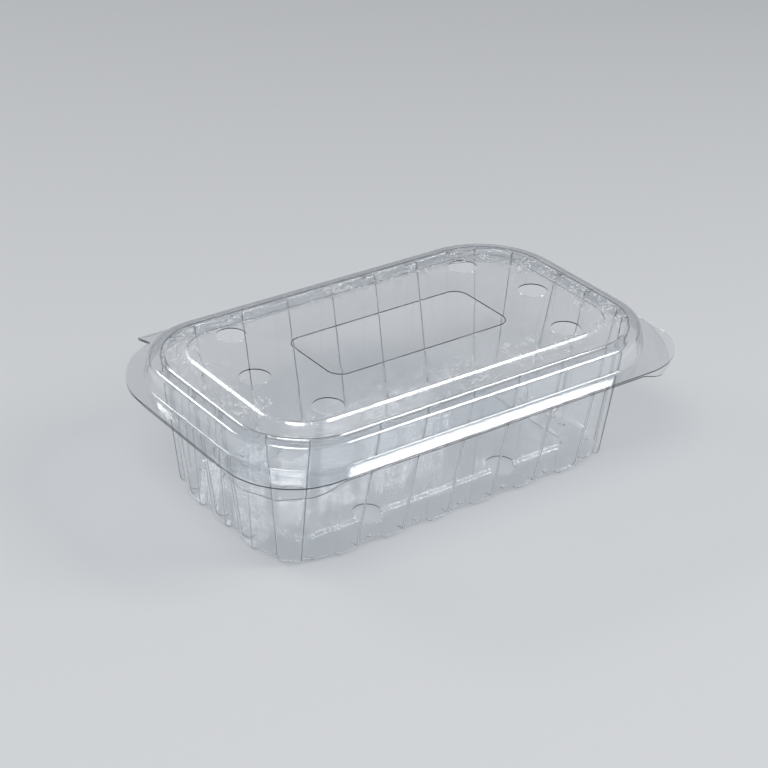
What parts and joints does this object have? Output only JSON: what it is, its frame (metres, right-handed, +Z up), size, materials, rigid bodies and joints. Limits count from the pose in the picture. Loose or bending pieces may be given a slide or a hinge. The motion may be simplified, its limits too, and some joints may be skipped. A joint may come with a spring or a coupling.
{
  "type": "clear hinged clamshell punnet",
  "caption": "Clear thermoformed clamshell punnet: a tray with fluted walls and drain holes, a vented lid with corner ears, and a fold hinge along the back.",
  "frame": {"origin": "on the table, under the middle of the closed pack's whole outline, front flange to hinge fold", "axes": "+X along the long side, to the right seen from the opening side; +Y towards the hinge fold; +Z up"},
  "size_m": [0.1908, 0.122, 0.0558],
  "materials": {
    "clear_sheet": "clear, glossy, thin formed sheet"
  },
  "bodies": {
    "tray": {"tray": "clear_sheet"},
    "lid": {"lid": "clear_sheet"}
  },
  "joints": [
    {"name": "lid_hinge", "type": "hinge", "parent": "tray", "child": "lid", "pos_m": [0, 0.06044, 0.04535], "axis": [-1, 0, 0], "range_deg": [0, 180]}
  ]
}
